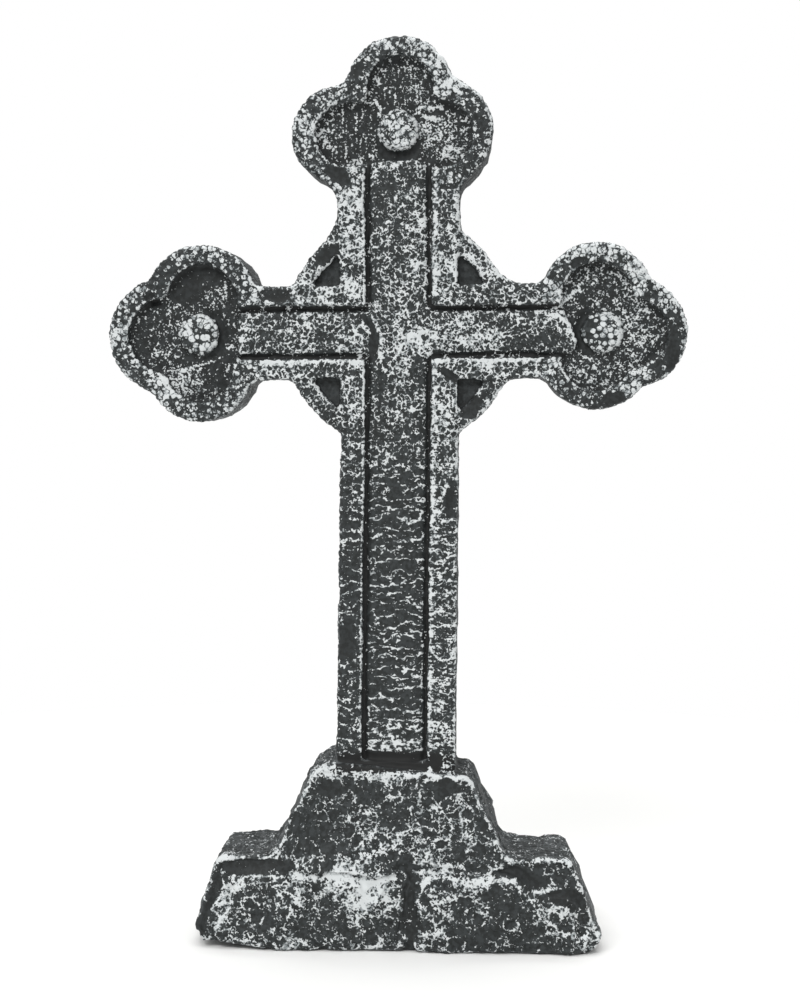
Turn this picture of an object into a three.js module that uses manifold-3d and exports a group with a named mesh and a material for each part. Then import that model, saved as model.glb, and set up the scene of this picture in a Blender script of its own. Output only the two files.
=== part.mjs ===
// Celtic cross headstone, a garden prop moulded in one piece of foam.
// Millimetres, +Z up, the carved front faces -Y, origin under the middle of the whole on the ground.
import * as THREE from 'three';
import { mergeVertices } from 'three/addons/utils/BufferGeometryUtils.js';
import Module from 'manifold-3d';

// Height of the crossing and where the shaft and the crossing stand across the width
const CROSSING_HEIGHT = 408.5;
const CROSSING_X = 1.4;
const SHAFT_X = 2.2;

// The arms and the top limb lean a little to the left, the shaft stands plumb
const HEAD_LEAN = THREE.MathUtils.degToRad(1.05);

// Thickness from front to back
const CROSS_FRONT = -30;
const CROSS_BACK = 32;
const BASE_FRONT = -35;
const BASE_BACK = 39;
const ROCK_FACE_RISE = 4;

// Rounded arrises
const CROSS_ARRIS = 2;
const BASE_ARRIS = 3;
const ARRIS_STEPS = 2;

// Half widths of the limbs
const ARM_HALF = 30.3;
const NECK_HALF = 39.5;
const SHAFT_HALF = 38;
const FOOT_HALF = 39.2;
const SHAFT_FOOT = 100;

// The ring shows as four webs between the limbs, each with a blind pocket
const RING_RADIUS = 75.5;
const RING_INNER_RADIUS = 65;
const RING_SETBACK = 1.5;
const POCKET_MARGIN = -0.4;
const POCKET_DEPTH = 7;
const POCKET_CORNER = 2.6;
const POCKET_BULGE = 16;

// Raised rim, and the channel between the rims with a groove along each side of a crowned panel
const RIM = 11.5;
const RECESS_CUSP = 5;
const RECESS_CORNER = 0.6;
const ARM_CHANNEL_HALF = 17.8;
const SHAFT_CHANNEL_HALF = 22.3;
const SHAFT_CHANNEL_SHIFT = -1.3;
const GROOVE_WIDTH = 4.8;
const GROOVE_DEPTH = 5.5;
const GROOVE_SLOPE = 1;
const PANEL_EDGE_DEPTH = 3.4;
const PANEL_CROWN_DEPTH = 2.2;
const PANEL_STEPS = 6;
const CROSSING_MARGIN = 1;
const CHANNEL_FOOT = 126;

// Trefoil ends, in a limb's own directions: u runs out from the crossing, v across to the limb's left.
// The lobes of the recess are smaller than the outer ones and meet in cusps; the panel ends in a tip of
// two corners between them
const RIGHT_TREFOIL = {
  boss: [132.5, -1],
  lobes: [{ u: 128.3, v: -14.7, r: 36 }, { u: 151.2, v: -1.7, r: 35.5 }, { u: 129, v: 20.5, r: 36.3 }],
  recess: [{ u: 128.3, v: -15.5, r: 24.5 }, { u: 152, v: -1.7, r: 23.6 }, { u: 129, v: 21, r: 24.2 }],
  notchFillet: 6,
  neckFillet: 9,
  tip: [[115, -7], [115, -11]],
};
const TOP_TREFOIL = {
  boss: [130.5, -0.5],
  lobes: [{ u: 130, v: -27, r: 34.5 }, { u: 156.5, v: -1.7, r: 34.3 }, { u: 128, v: 38.5, r: 30 }],
  recess: [{ u: 128, v: -27.5, r: 22.4 }, { u: 157.3, v: -1.7, r: 22.4 }, { u: 128.2, v: 32.5, r: 21.6 }],
  notchFillet: 12,
  neckFillet: 17,
  tip: [[111, 10], [111, -10]],
};
const LEFT_TREFOIL = {
  boss: [131, 0.5],
  lobes: [{ u: 129.5, v: -21.5, r: 36 }, { u: 151.8, v: 1, r: 37.7 }, { u: 130.8, v: 22.7, r: 34.3 }],
  recess: [{ u: 129, v: -22.5, r: 23.6 }, { u: 152.4, v: 1, r: 25.6 }, { u: 130.8, v: 23.2, r: 22.6 }],
  notchFillet: 6,
  neckFillet: 7,
  tip: [[105, 10], [105, -10]],
};
const RECESS_DEPTH = 7.5;
const BOSS_RADIUS = 12.4;
const BOSS_TOP_DEPTH = 1.2;
const BOSS_ROUNDING = 3.5;
const BOSS_DOME = 1;
const BOSS_ROOT = 1;

// Front profile of the stepped base, from the left shoulder round the foot to the right shoulder
const BASE_PROFILE = [
  { x: -36, z: 125, r: 0 },
  { x: -51, z: 123.5, r: 10 },
  { x: -79, z: 62, r: 18 },
  { x: -115.5, z: 61.5, r: 7 },
  { x: -134, z: 0, r: 11 },
  { x: 143.5, z: 0, r: 11 },
  { x: 118, z: 64, r: 8 },
  { x: 75.5, z: 63, r: 11 },
  { x: 52, z: 117, r: 8 },
  { x: 40, z: 117.5, r: 0 },
];

// Two rock-faced swells on the front of the lower step, with an open crack between them
const ROCK_FACES = [
  [
    { x: -118, z: 0.6, r: 5 },
    { x: -112, z: 24, r: 12 },
    { x: -99, z: 51, r: 9 },
    { x: 15, z: 51, r: 6 },
    { x: 10, z: 0.6, r: 5 },
  ],
  [
    { x: 15, z: 0.6, r: 5 },
    { x: 20, z: 50, r: 6 },
    { x: 66, z: 53, r: 9 },
    { x: 92, z: 41, r: 12 },
    { x: 123, z: 39, r: 9 },
    { x: 131, z: 0.6, r: 6 },
  ],
];
const ROCK_FACE_ARRIS = 3.6;

const PAINTED_FOAM = { color: '#3b3e3f', roughness: 0.85, metalness: 0 };

// Curves are drawn with a corner at least this often
const ARC_STEP = THREE.MathUtils.degToRad(11);
const LATHE_SIDES = 36;
const OVERCUT = 5;

const FRONT = new THREE.Vector3(0, -1, 0);
const ACROSS = new THREE.Vector3(1, 0, 0);
const UP = new THREE.Vector3(0, 0, 1);

const wasm = await Module();
wasm.setup();

// Points of an arc about (x, y), turning anticlockwise for turn 1 and clockwise for turn -1
function arcPoints(x, y, radius, from, to, turn) {
  const full = 2 * Math.PI;
  const sweep = (((to - from) * turn) % full + full) % full;
  const steps = Math.max(2, Math.ceil(sweep / ARC_STEP));
  const points = [];
  for (let i = 0; i <= steps; i += 1) {
    const angle = from + (turn * sweep * i) / steps;
    points.push(new THREE.Vector2(x + radius * Math.cos(angle), y + radius * Math.sin(angle)));
  }
  return points;
}

function directionTo(a, b) {
  return Math.atan2(b.y - a.y, b.x - a.x);
}

// A closed outline through straight-sided corners, each rounded by its own radius
function roundedOutline(corners) {
  const points = [];
  corners.forEach((corner, i) => {
    const here = new THREE.Vector2(corner.x, corner.z);
    if (corner.r === 0) {
      points.push(here);
      return;
    }
    const before = corners[(i + corners.length - 1) % corners.length];
    const after = corners[(i + 1) % corners.length];
    const back = new THREE.Vector2(before.x, before.z).sub(here).normalize();
    const on = new THREE.Vector2(after.x, after.z).sub(here).normalize();
    const halfAngle = Math.acos(THREE.MathUtils.clamp(back.dot(on), -1, 1)) / 2;
    const bisector = back.clone().add(on).normalize();
    const centre = here.clone().addScaledVector(bisector, corner.r / Math.sin(halfAngle));
    const reach = corner.r / Math.tan(halfAngle);
    const start = here.clone().addScaledVector(back, reach);
    const end = here.clone().addScaledVector(on, reach);
    const turn = back.cross(on) > 0 ? -1 : 1;
    const from = directionTo(centre, start);
    points.push(...arcPoints(centre.x, centre.y, corner.r, from, directionTo(centre, end), turn));
  });
  return points;
}

// Centre of a hollow fillet that touches two round lobes on the right of the way from a to b
function filletBetweenLobes(a, b, radius) {
  const reachA = a.r + radius;
  const reachB = b.r + radius;
  const span = a.distanceTo(b);
  const along = (span * span + reachA * reachA - reachB * reachB) / (2 * span);
  const aside = Math.sqrt(reachA * reachA - along * along);
  const way = b.clone().sub(a).normalize();
  const right = new THREE.Vector2(way.y, -way.x);
  return new THREE.Vector2(a.x, a.y).addScaledVector(way, along).addScaledVector(right, aside);
}

// Centre of a hollow fillet that touches a limb's edge at v = edge and a round lobe, on one side of it
function filletOnEdge(lobe, edge, radius, side) {
  const v = edge + Math.sign(edge) * radius;
  const reach = lobe.r + radius;
  return new THREE.Vector2(lobe.x + side * Math.sqrt(reach * reach - (v - lobe.y) ** 2), v);
}

function lobeAt({ u, v, r }) {
  const lobe = new THREE.Vector2(u, v);
  lobe.r = r;
  return lobe;
}

// Edge of three lobes from the limb's right side at v = -half round to its left at v = half
function trefoilPoints(lobes, half, notchFillet, neckFillet) {
  const [first, end, last] = lobes.map(lobeAt);
  const neckRight = filletOnEdge(first, -half, neckFillet, -1);
  const neckLeft = filletOnEdge(last, half, neckFillet, -1);
  const notchRight = filletBetweenLobes(first, end, notchFillet);
  const notchLeft = filletBetweenLobes(end, last, notchFillet);
  const swell = (lobe, a, b) => arcPoints(
    lobe.x, lobe.y, lobe.r, directionTo(lobe, a), directionTo(lobe, b), 1);
  const hollow = (at, radius, from, to) => arcPoints(at.x, at.y, radius, from, to, -1);
  return [
    ...hollow(neckRight, neckFillet, Math.PI / 2, directionTo(neckRight, first)),
    ...swell(first, neckRight, notchRight),
    ...hollow(notchRight, notchFillet, directionTo(notchRight, first), directionTo(notchRight, end)),
    ...swell(end, notchRight, notchLeft),
    ...hollow(notchLeft, notchFillet, directionTo(notchLeft, end), directionTo(notchLeft, last)),
    ...swell(last, notchLeft, neckLeft),
    ...hollow(neckLeft, neckFillet, directionTo(neckLeft, last), -Math.PI / 2),
  ];
}

// The recess inside a trefoil's rim, closed towards the crossing by the pointed end of the panel
function recessPoints({ recess, tip }, half) {
  const rimEdge = trefoilPoints(recess, half - RIM, RECESS_CUSP, RECESS_CORNER);
  return [...rimEdge, ...tip.map(([u, v]) => new THREE.Vector2(u, v))];
}

// The three limbs of the head, with the fillets from the ring on to each limb's right and left edge
const LIMBS = [
  {
    heading: HEAD_LEAN,
    half: ARM_HALF,
    ringFillets: [14, 22],
    channelHalf: ARM_CHANNEL_HALF,
    trefoil: RIGHT_TREFOIL,
  },
  {
    heading: Math.PI / 2 + HEAD_LEAN,
    half: NECK_HALF,
    ringFillets: [6, 30],
    channelHalf: SHAFT_CHANNEL_HALF,
    trefoil: TOP_TREFOIL,
  },
  {
    heading: Math.PI + HEAD_LEAN,
    half: ARM_HALF,
    ringFillets: [5, 8],
    channelHalf: ARM_CHANNEL_HALF,
    trefoil: LEFT_TREFOIL,
  },
];
const SHAFT_RING_FILLET = 5;

// From a limb's own directions to the front view
function toFrontView(heading, points) {
  const crossing = new THREE.Vector2(CROSSING_X, CROSSING_HEIGHT);
  return points.map((p) => p.clone().rotateAround(new THREE.Vector2(), heading).add(crossing));
}

// The hollow fillet from the ring's edge on to a limb's edge, from ring to limb
function ringFillet(edge, radius) {
  const ring = lobeAt({ u: 0, v: 0, r: RING_RADIUS });
  const centre = filletOnEdge(ring, edge, radius, 1);
  const onRing = directionTo(centre, ring);
  const onEdge = (-Math.sign(edge) * Math.PI) / 2;
  const turn = Math.sign(edge);
  return arcPoints(centre.x, centre.y, radius, onRing, onEdge, turn);
}

// The shaft's edge from the ring down its left side, across the foot and up its right side
function shaftPoints() {
  const down = CROSSING_HEIGHT - SHAFT_FOOT;
  const shift = SHAFT_X - CROSSING_X;
  return [
    ...ringFillet(-SHAFT_HALF + shift, SHAFT_RING_FILLET),
    new THREE.Vector2(down, -FOOT_HALF + shift),
    new THREE.Vector2(down, FOOT_HALF + shift),
    ...ringFillet(SHAFT_HALF + shift, SHAFT_RING_FILLET).reverse(),
  ];
}

// Whole outline of the cross in the front view, anticlockwise from the right arm
function crossOutline() {
  const runs = LIMBS.map(({ heading, half, ringFillets, trefoil }) => toFrontView(heading, [
    ...ringFillet(-half, ringFillets[0]),
    ...trefoilPoints(trefoil.lobes, half, trefoil.notchFillet, trefoil.neckFillet),
    ...ringFillet(half, ringFillets[1]).reverse(),
  ]));
  runs.push(toFrontView(-Math.PI / 2, shaftPoints()));
  const crossing = new THREE.Vector2(CROSSING_X, CROSSING_HEIGHT);
  return runs.flatMap((run, i) => {
    const next = runs[(i + 1) % runs.length];
    const from = directionTo(crossing, run[run.length - 1]);
    const to = directionTo(crossing, next[0]);
    return [...run, ...arcPoints(crossing.x, crossing.y, RING_RADIUS, from, to, 1)];
  });
}

function withoutRepeats(points) {
  const nearest = 0.05;
  return points.filter((p, i) => p.distanceTo(points[(i + 1) % points.length]) > nearest);
}

// A front-view outline made solid between two depths, with rounded arrises where asked
function slab(points, front, back, arris = 0) {
  const geometry = new THREE.ExtrudeGeometry(new THREE.Shape(withoutRepeats(points)), {
    depth: back - front - 2 * arris,
    bevelEnabled: arris > 0,
    bevelThickness: arris,
    bevelSize: arris,
    bevelOffset: -arris,
    bevelSegments: ARRIS_STEPS,
  });
  const frame = new THREE.Matrix4().makeBasis(ACROSS, UP, FRONT).setPosition(0, back - arris, 0);
  return solid(geometry.applyMatrix4(frame));
}

// A closed geometry as a solid to join and cut
function solid(geometry) {
  geometry.deleteAttribute('normal');
  geometry.deleteAttribute('uv');
  const merged = mergeVertices(geometry);
  const index = merged.index.array;
  const triVerts = [];
  for (let i = 0; i < index.length; i += 3) {
    const [a, b, c] = index.slice(i, i + 3);
    if (a !== b && b !== c && c !== a) {
      triVerts.push(a, b, c);
    }
  }
  return new wasm.Manifold(new wasm.Mesh({
    numProp: 3,
    vertProperties: merged.getAttribute('position').array,
    triVerts: new Uint32Array(triVerts),
  }));
}

// Cutter for a limb's channel: a groove inside each rim and a crowned panel between them
function channelCutter(heading, half, shift, from, to) {
  const panelHalf = half - GROOVE_WIDTH;
  const section = [
    new THREE.Vector2(half + shift, OVERCUT),
    new THREE.Vector2(-half + shift, OVERCUT),
    new THREE.Vector2(-half + shift, -GROOVE_DEPTH),
    new THREE.Vector2(-panelHalf + shift - GROOVE_SLOPE, -GROOVE_DEPTH),
  ];
  for (let i = 0; i <= PANEL_STEPS; i += 1) {
    const across = (2 * i) / PANEL_STEPS - 1;
    const depth = THREE.MathUtils.lerp(PANEL_CROWN_DEPTH, PANEL_EDGE_DEPTH, across * across);
    section.push(new THREE.Vector2(across * panelHalf + shift, -depth));
  }
  section.push(new THREE.Vector2(panelHalf + shift + GROOVE_SLOPE, -GROOVE_DEPTH));
  section.push(new THREE.Vector2(half + shift, -GROOVE_DEPTH));
  const geometry = new THREE.ExtrudeGeometry(new THREE.Shape(section), {
    depth: to - from,
    bevelEnabled: false,
  });
  const along = new THREE.Vector3(Math.cos(heading), 0, Math.sin(heading));
  const aside = new THREE.Vector3(-along.z, 0, along.x);
  const start = new THREE.Vector3(CROSSING_X, CROSS_FRONT, CROSSING_HEIGHT).addScaledVector(along, from);
  return solid(geometry.applyMatrix4(
    new THREE.Matrix4().makeBasis(aside, FRONT, along).setPosition(start)));
}

// The level field where the four panels meet
function crossingCutter() {
  const corners = [[-1, -1], [1, -1], [1, 1], [-1, 1]].map(([across, up]) => new THREE.Vector2(
    across * (SHAFT_CHANNEL_HALF - CROSSING_MARGIN), up * (ARM_CHANNEL_HALF - CROSSING_MARGIN)));
  const level = (PANEL_CROWN_DEPTH + PANEL_EDGE_DEPTH) / 2;
  return slab(toFrontView(0, corners), CROSS_FRONT - OVERCUT, CROSS_FRONT + level);
}

// Cutters between two limbs: the ring's face a little behind the rims, and its blind pocket
function ringCutters(across, up) {
  const inFront = CROSS_FRONT - OVERCUT;
  const web = [[SHAFT_HALF, ARM_HALF], [RING_RADIUS, ARM_HALF], [RING_RADIUS, RING_RADIUS],
    [SHAFT_HALF, RING_RADIUS]].map(([x, z]) => new THREE.Vector2(across * x, up * z));
  const x = SHAFT_HALF + POCKET_MARGIN;
  const z = ARM_HALF + POCKET_MARGIN;
  const fromArm = Math.asin(z / RING_INNER_RADIUS);
  const toShaft = Math.acos(x / RING_INNER_RADIUS);
  const onRing = (angle, r) => (
    { x: across * RING_INNER_RADIUS * Math.cos(angle), z: up * RING_INNER_RADIUS * Math.sin(angle), r });
  const pocket = roundedOutline([
    { x: across * x, z: up * z, r: POCKET_CORNER },
    onRing(fromArm, POCKET_CORNER),
    onRing((fromArm + toShaft) / 2, POCKET_BULGE),
    onRing(toShaft, POCKET_CORNER),
  ]);
  const lean = up > 0 ? HEAD_LEAN : 0;
  return [
    slab(toFrontView(lean, web), inFront, CROSS_FRONT + RING_SETBACK),
    slab(toFrontView(lean, pocket), inFront, CROSS_FRONT + POCKET_DEPTH),
  ];
}

// The low round boss in the middle of a trefoil, rooted in the recess floor
function trefoilBoss(heading, trefoil) {
  const root = -RECESS_DEPTH - BOSS_ROOT;
  const shoulder = -BOSS_TOP_DEPTH - BOSS_DOME - BOSS_ROUNDING;
  const profile = [
    new THREE.Vector2(0, root),
    new THREE.Vector2(BOSS_RADIUS, root),
    ...arcPoints(BOSS_RADIUS - BOSS_ROUNDING, shoulder, BOSS_ROUNDING, 0, Math.PI / 2, 1),
    new THREE.Vector2(0, -BOSS_TOP_DEPTH),
  ];
  const [centre] = toFrontView(heading, [new THREE.Vector2(...trefoil.boss)]);
  const geometry = new THREE.LatheGeometry(profile, LATHE_SIDES);
  const frame = new THREE.Matrix4().makeBasis(ACROSS, FRONT, UP.clone().negate());
  return solid(geometry.applyMatrix4(frame.setPosition(centre.x, CROSS_FRONT, centre.y)));
}

// The cross with its channels, recesses, bosses and ring pockets
function carvedCross() {
  let cross = slab(crossOutline(), CROSS_FRONT, CROSS_BACK, CROSS_ARRIS);
  const cut = (cutter) => {
    cross = cross.subtract(cutter);
  };
  LIMBS.forEach(({ heading, half, channelHalf, trefoil }) => {
    const start = channelHalf === ARM_CHANNEL_HALF ? SHAFT_CHANNEL_HALF : ARM_CHANNEL_HALF;
    const recess = toFrontView(heading, recessPoints(trefoil, half));
    const inner = start - 2 * CROSSING_MARGIN;
    const outer = trefoil.tip[0][0] + CROSSING_MARGIN;
    cut(channelCutter(heading, channelHalf, 0, inner, outer));
    cut(slab(recess, CROSS_FRONT - OVERCUT, CROSS_FRONT + RECESS_DEPTH));
    cross = cross.add(trefoilBoss(heading, trefoil));
  });
  const shift = SHAFT_X - CROSSING_X + SHAFT_CHANNEL_SHIFT;
  const foot = CROSSING_HEIGHT - CHANNEL_FOOT;
  const top = ARM_CHANNEL_HALF - 2 * CROSSING_MARGIN;
  cut(channelCutter(-Math.PI / 2, SHAFT_CHANNEL_HALF, shift, top, foot));
  cut(crossingCutter());
  [[1, 1], [-1, 1], [-1, -1], [1, -1]].forEach(([across, up]) => ringCutters(across, up).forEach(cut));
  return cross;
}

// The base with its rock-faced lower step
function steppedBase() {
  const block = slab(roundedOutline(BASE_PROFILE), BASE_FRONT, BASE_BACK, BASE_ARRIS);
  const proud = BASE_FRONT - ROCK_FACE_RISE;
  const buried = BASE_FRONT + ROCK_FACE_ARRIS + OVERCUT;
  return ROCK_FACES.reduce(
    (base, face) => base.add(slab(roundedOutline(face), proud, buried, ROCK_FACE_ARRIS)), block);
}

function toMesh(name, form) {
  const { vertProperties, triVerts } = form.getMesh();
  const geometry = new THREE.BufferGeometry();
  geometry.setAttribute('position', new THREE.BufferAttribute(vertProperties, 3));
  geometry.setIndex(new THREE.BufferAttribute(triVerts, 1));
  geometry.computeVertexNormals();
  const mesh = new THREE.Mesh(geometry, new THREE.MeshStandardMaterial(PAINTED_FOAM));
  mesh.name = name;
  return mesh;
}

const headstone = new THREE.Group();
headstone.add(toMesh('headstone', carvedCross().add(steppedBase())));

export default headstone;
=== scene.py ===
"""Celtic cross headstone: the dressed model of a garden prop moulded in bead foam.

The block keeps the form of the frame's solid. Its skin gets the foam's beads, the mould's chisel lines, the
rock face of the base, cracks, chips and vent marks as mesh, and a coat of dark grey paint dry-brushed with
off-white.
"""

import math
from statistics import NormalDist

import bmesh
import bpy
import numpy as np
from mathutils import Matrix, Vector


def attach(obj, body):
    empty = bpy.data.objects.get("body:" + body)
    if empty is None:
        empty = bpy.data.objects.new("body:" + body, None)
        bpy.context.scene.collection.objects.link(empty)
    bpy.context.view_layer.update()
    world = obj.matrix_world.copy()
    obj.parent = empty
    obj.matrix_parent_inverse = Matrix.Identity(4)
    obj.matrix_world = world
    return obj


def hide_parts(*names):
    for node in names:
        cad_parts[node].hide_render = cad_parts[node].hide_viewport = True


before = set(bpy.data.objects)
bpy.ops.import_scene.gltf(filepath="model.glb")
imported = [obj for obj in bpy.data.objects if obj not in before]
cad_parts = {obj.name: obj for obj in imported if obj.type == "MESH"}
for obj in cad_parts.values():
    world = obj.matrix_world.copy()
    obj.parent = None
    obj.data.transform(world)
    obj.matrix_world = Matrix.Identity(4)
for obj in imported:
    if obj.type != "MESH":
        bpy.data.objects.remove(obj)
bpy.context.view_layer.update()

bl_info = {
    "name": "Celtic cross headstone",
    "version": (1, 0, 0),
    "blender": (4, 5, 0),
    "location": "3D View > Sidebar > Headstone",
    "description": "Models and paints a ringed cross headstone prop of moulded bead foam",
    "category": "Add Mesh",
}

NODE = "headstone"
BODY = "root"
MM = 0.001
MOST_TRIANGLES = 196_000
FULL_MESH_DEPTH = 12.0

# The solid's form, in millimetres: x to the viewer's right, z up, y into the block
CROSSING_X = 1.4
CROSSING_HEIGHT = 408.5
SHAFT_X = 2.2
HEAD_LEAN = math.radians(1.05)
CROSS_FRONT = -30.0
BASE_TOP = 119.0
BASE_SHOULDER = 126.0
SHAFT_HALF = 40.0
ARM_HALF = 31.0
RING_REACH = 80.0
ARM_CHANNEL_HALF = 17.8
SHAFT_CHANNEL_HALF = 22.3
SHAFT_CHANNEL_SHIFT = -1.3
TREFOIL_START = 92.0
BOSS_RADIUS = 12.4
BOSS_SKIRT = 1.2
FOOT_STRIP = 114.0
SHAFT_FOOT = 125.0
CHISEL_START = (350.0, 295.0)

# How deep each part of the carving lies behind the cross's front
RIM_DEPTH = 1.4
PANEL_DEPTH = 4.5
FLOOR_DEPTH = 5.4
POCKET_DEPTH = 6.0

# The limbs from the crossing, as a heading in radians, and each boss's place out along its limb and to its
# left
RIGHT, TOP, LEFT, SHAFT = range(4)
HEADINGS = (HEAD_LEAN, math.pi / 2 + HEAD_LEAN, math.pi + HEAD_LEAN, -math.pi / 2)
BOSSES = ((132.5, -1.0), (130.5, -0.5), (131.0, 0.5))

# Share of each part that the off-white brush has covered
TREFOIL_RIM_COVER = (0.42, 0.29, 0.38)
TREFOIL_FLOOR_COVER = (0.25, 0.17, 0.13)
BOSS_COVER = (0.63, 0.60, 0.64)
ARM_RIM_COVER = 0.44
ARM_PANEL_COVER = 0.39
CROSSING_COVER = 0.41
RING_COVER = 0.36
GROOVE_COVER = 0.015
POCKET_COVER = 0.0005
SIDE_COVER = 0.03
BACK_COVER = 0.06
BASE_COVER = 0.17
LEDGE_COVER = 0.10
FOOT_STRIP_COVER = 0.80
# The same along the shaft, as heights in millimetres and shares
SHAFT_PANEL_COVER = (
    (140, 0.25), (167, 0.16), (207, 0.15), (260, 0.15), (299, 0.20), (332, 0.18), (370, 0.15), (392, 0.20),
    (400, 0.32), (500, 0.37),
)
LEFT_RIM_COVER = (
    (137, 0.14), (190, 0.13), (255, 0.12), (300, 0.11), (345, 0.15), (370, 0.42), (470, 0.65),
)
RIGHT_RIM_COVER = (
    (137, 0.34), (220, 0.31), (255, 0.21), (300, 0.38), (345, 0.42), (370, 0.45), (470, 0.52),
)

# Cracks in the front as points, half width and depth
CRACKS = (
    (((-25, 420), (-17.5, 412.5), (-13.2, 405), (-13, 391)), 0.9, 0.8),
    (((-10.6, 387), (-10.6, 357.7), (-6.7, 348), (5.7, 338)), 0.8, 0.9),
    (((-16, 182.5), (-7, 175), (3, 165.5)), 1.3, 1.1),
    (((6.5, 148.5), (12, 141.5)), 1.2, 0.9),
    (((2, 58.5), (15, 56), (30, 55), (58, 57)), 1.4, 1.2),
)
# Fine ridges left by the mould in the same way: in the trefoils' floors and along the crossing's crack
RIDGES = (
    (((14, 554), (28, 554)), 1.0, 0.9),
    (((16.5, 548), (27.5, 547)), 1.0, 0.9),
    (((-24, 558), (-12.5, 556), (-13, 546)), 0.9, 0.7),
    (((-142, 381.5), (-131, 386), (-121, 388.5)), 0.9, 0.7),
    (((101, 424), (108, 429), (116, 436)), 1.1, 1.0),
    (((103, 421), (111, 415), (116, 405)), 0.8, 0.5),
    (((-17, 418), (-13, 413), (-10.6, 406), (-10.4, 389)), 1.0, 0.7),
)
# Smooth hollows that the brush has missed, as centre, half width, half height, turn in degrees and depth
BARE_HOLLOWS = (
    ((-31, 208), 5.5, 12, 0, 0.6),
    ((36.5, 299), 4.5, 11, -8, 1.4),
    ((-28, 577), 6, 4, 45, 0.5),
    ((-38, 509), 7, 4.5, -35, 0.5),
    ((-81, 432), 10, 4.5, 0, 0.5),
    ((-18.5, 414.5), 7.5, 2.2, -45, 0.7),
    ((-15.4, 400), 3.0, 11, 0, 0.7),
    ((34, 381.5), 7.5, 2.3, -35, 1.6),
    ((-46.5, 458.5), 9, 4.5, 45, 0.3),
    ((50, 361), 8, 5, 45, 0.4),
    ((-161, 429), 5, 3.5, -45, 2.2),
    ((118, 455), 6, 4, 35, 0.4),
    ((143, 366), 7, 5, 10, 0.4),
    ((179, 398), 4.5, 14, 0, 0.4),
    ((2, 126.5), 40, 5.5, 0, 0.5),
    ((-122, 30), 6, 27, -17, 1.2),
    ((-91, 55.5), 27, 5, 0, 1.0),
    ((14, 30), 4.5, 27, 4, 1.6),
    ((86, 51), 18, 5.5, -12, 1.6),
    ((116, 38), 16, 5.5, -8, 1.6),
    ((-42, 106), 8, 8, 0, 0.4),
    ((37, 112), 6, 4, 0, 0.4),
)
# Where the brush has gone over thickly, or thinly, as centre, half width, half height, turn in degrees and
# lift
THICK_STROKES = (
    ((-18, 41), 28, 19, 0, 1.8),
    ((75, 405), 30, 14, 0, -0.45),
    ((8, 418), 12, 8, 0, 0.4),
    ((35, 402), 16, 6, 0, 0.5),
    ((2, 136), 24, 4, 0, 1.0),
    ((-52, 62), 14, 6, 30, 0.9),
    ((-109, 30), 6, 24, -14, 0.9),
    ((30, 56), 24, 4, 0, 1.1),
    ((100, 44), 26, 4, -18, 0.9),
    ((15, 83), 40, 14, 0, 0.45),
    ((65, 22), 45, 20, 0, -0.3),
    ((2, 107), 45, 4.5, 0, -0.8),
    ((103, 407), 12, 14, 0, -0.7),
    ((27, 533), 16, 10, 0, 0.7),
    ((12, 566), 6, 4, 0, 1.2),
    ((155, 408), 16, 18, 0, 0.5),
    ((-60, 417), 12, 5, 10, 0.6),
    ((-142, 373), 24, 12, 0, 0.9),
    ((-136, 440), 22, 13, 0, -1.2),
    ((155, 446), 16, 16, 0, 0.8),
    ((130, 362), 28, 10, 0, -1.4),
    ((-120, 452), 30, 8, 0, -0.3),
    ((2, 507), 22, 8, 0, -0.9),
    ((2, 593), 30, 4, 0, 0.8),
    ((57, 406), 14, 4, 5, 0.9),
    ((35, 568), 9, 7, 0, 0.8),
    ((-37, 576), 16, 4, 10, 0.8),
    ((-48, 533), 11, 5, -40, 0.9),
    ((36, 524), 12, 4.5, 15, 0.9),
    ((57, 550), 7, 18, 0, -0.6),
    ((-29, 516), 9, 6, 35, 0.9),
)
# Lines along which the rock face stands out and has caught the brush, as points, half width and lift
PAINT_LINES = (
    (((-72, 57), (-99, 52), (-112, 37), (-114, 16)), 3.0, 0.9),
    (((14, 18), (17, 46), (22.5, 52.5), (52, 55.5)), 2.2, 1.3),
    (((41, 46), (62, 49), (77, 47), (85, 40), (95, 44), (106, 44)), 2.0, 1.2),
    (((97, 30), (110, 27.5), (120, 25)), 2.0, 0.9),
)
# Rows of dots that a comb has left in a trefoil's floor, as centre, half width, half height and pitch
COMB_MARKS = (((-36, 537), 15, 20, 3.1), ((3, 566), 17, 16, 3.4))
# Round marks of the mould's vents in the front, and the crater in the base
VENT_RADIUS = 3.2
VENT_PITCH = 1.9
VENTS = (
    (-14, 467), (9, 425.5), (18, 405.5), (-3, 361.5), (12.5, 289), (-14, 330), (2, 246),
    (22, 94), (49, 92.5), (15.5, 78.5), (-11, 73), (32, 72), (-46, 87.5), (-23, 88),
    (26, 30.5), (57.5, 26), (105, 17), (-62, 30), (-90, 20), (80, 20),
)
CRATER = (125.0, 14.0)
CRATER_RADIUS = 4.5
LEDGE_PITS = ((70.5, -24.0), (77.5, -31.0))
LEDGE_HEIGHT = 60.0
# Corners of the base's steps that are worn round, and how far the left end of its foot is worn up and inwards
SOFT_CORNERS = ((-74.0, 63.0), (74.0, 63.0), (-52.0, 122.0))
FOOT_END_RISE = 4.5
FOOT_END_SHIFT = 3.0
# Where the left rock face runs up into the step above it
BUTTRESS_X = -30.0
BUTTRESS_HALF = 34.0

# Sizes of the marks that the dry brush leaves, in millimetres: curls of paint, flakes, specks and short
# dashes
CURL_SIZE = 3.7
FLAKE_SIZE = 4.5
SPECK_SIZE = 1.3
DASH_SIZE = 1.7
DASH_STRETCH = 0.28
PATTERNS = ("curls", "rivers", "beads", "flakes", "specks", "dashes", "waves")
FORMS = ("bead_reach", "bead_joint", "chisel")

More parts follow.
